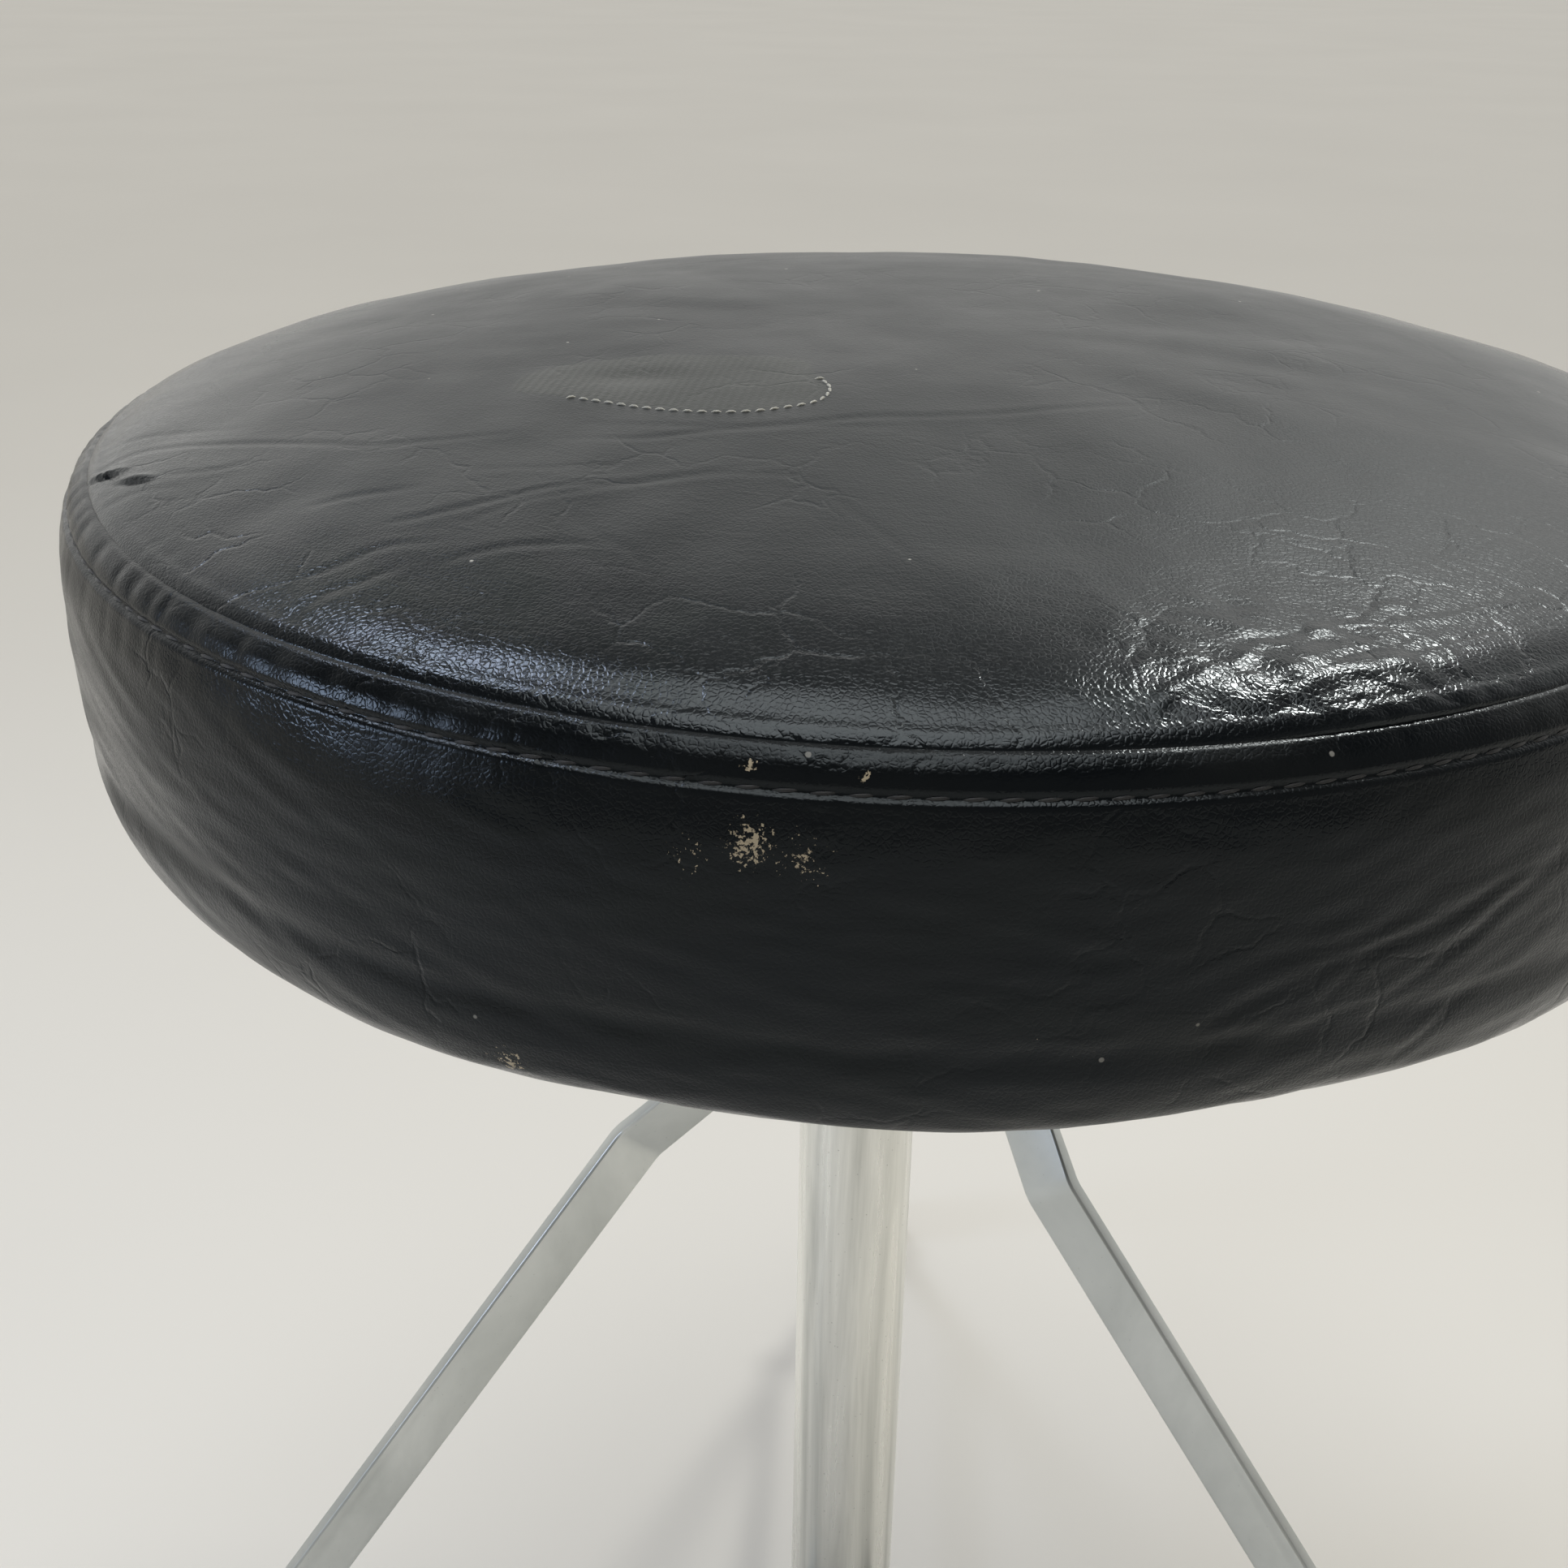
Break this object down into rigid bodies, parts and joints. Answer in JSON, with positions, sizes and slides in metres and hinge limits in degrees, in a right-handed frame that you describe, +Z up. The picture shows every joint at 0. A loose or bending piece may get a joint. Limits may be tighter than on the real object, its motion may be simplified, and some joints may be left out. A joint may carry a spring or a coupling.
{
  "type": "swivel stool",
  "caption": "Round upholstered stool seat that turns on a sliding post, held in a plated column on a tripod of bent flat bars.",
  "frame": {"origin": "on the floor, at the centre of the bounding box; the column axis stands 73 mm from it towards -Y and 3 mm towards +X, and the cushion's centre a further 9 mm towards +X and +Y", "axes": "+Z up along the column, +X across the two front feet, -Y towards the front of the stool and +Y towards its rear leg"},
  "size_m": [0.543, 0.475, 0.479],
  "materials": {
    "vinyl": "semi-gloss grained black vinyl",
    "foam": "open-cell foam",
    "plywood": "raw plywood",
    "dust_cloth": "black cambric",
    "column_plating": "polished nickel plating",
    "post_plating": "polished plating",
    "leg_plating": "satin plated flat bar",
    "stay_plating": "satin plated strap",
    "casting": "cast, lightly polished",
    "bracket_steel": "zinc plated",
    "tee_nut_steel": "zinc plated",
    "fastener_steel": "zinc plated",
    "screw_steel": "zinc plated",
    "nylon": "natural nylon",
    "plug_plastic": "black polyethylene",
    "knob_plastic": "black moulded",
    "foot_rubber": "black rubber"
  },
  "bodies": {
    "base": {"collar_screw": "fastener_steel", "column_bush": "nylon", "column_end_plug": "plug_plastic", "column_tube": "column_plating", "hub_screw_1_1": "fastener_steel", "hub_screw_1_2": "fastener_steel", "hub_screw_2_1": "fastener_steel", "hub_screw_2_2": "fastener_steel", "hub_screw_3_1": "fastener_steel", "hub_screw_3_2": "fastener_steel", "leg_1": "leg_plating", "leg_2": "leg_plating", "leg_3": "leg_plating", "leg_hub": "casting", "lower_collar": "casting", "rubber_foot_1": "foot_rubber", "rubber_foot_2": "foot_rubber", "rubber_foot_3": "foot_rubber", "stay_1": "stay_plating", "stay_2": "stay_plating", "stay_3": "stay_plating", "stay_inner_bolt_1": "fastener_steel", "stay_inner_bolt_2": "fastener_steel", "stay_inner_bolt_3": "fastener_steel", "stay_inner_nut_1": "fastener_steel", "stay_inner_nut_2": "fastener_steel", "stay_inner_nut_3": "fastener_steel", "stay_outer_bolt_1": "fastener_steel", "stay_outer_bolt_2": "fastener_steel", "stay_outer_bolt_3": "fastener_steel", "stay_outer_nut_1": "fastener_steel", "stay_outer_nut_2": "fastener_steel", "stay_outer_nut_3": "fastener_steel"},
    "post": {"seat_post": "post_plating", "spindle_washer": "fastener_steel", "spindle_bolt": "fastener_steel"},
    "seat": {"seat_top_panel": "vinyl", "seat_side_band": "vinyl", "foam_pad": "foam", "seat_board": "plywood", "dust_cloth": "dust_cloth", "seat_bracket": "bracket_steel", "swivel_bush": "nylon", "tee_nut_1": "tee_nut_steel", "tee_nut_2": "tee_nut_steel", "tee_nut_3": "tee_nut_steel", "tee_nut_4": "tee_nut_steel", "bracket_bolt_1": "fastener_steel", "bracket_bolt_2": "fastener_steel", "bracket_bolt_3": "fastener_steel", "bracket_bolt_4": "fastener_steel"},
    "clamp": {"clamp_screw": "screw_steel", "clamp_knob": "knob_plastic"}
  },
  "joints": [
    {"name": "seat_height", "type": "slide", "parent": "base", "child": "post", "axis": [0, 0, 1], "range_m": [0, 0.12]},
    {"name": "seat_swivel", "type": "hinge", "parent": "post", "child": "seat", "pos_m": [0.00265, -0.07315, 0.37], "axis": [0, 0, 1], "continuous": true},
    {"name": "clamp_turn", "type": "hinge", "parent": "base", "child": "clamp", "pos_m": [0.00265, -0.05315, 0.342], "axis": [0, 1, 0], "range_deg": [0, 720]}
  ]
}
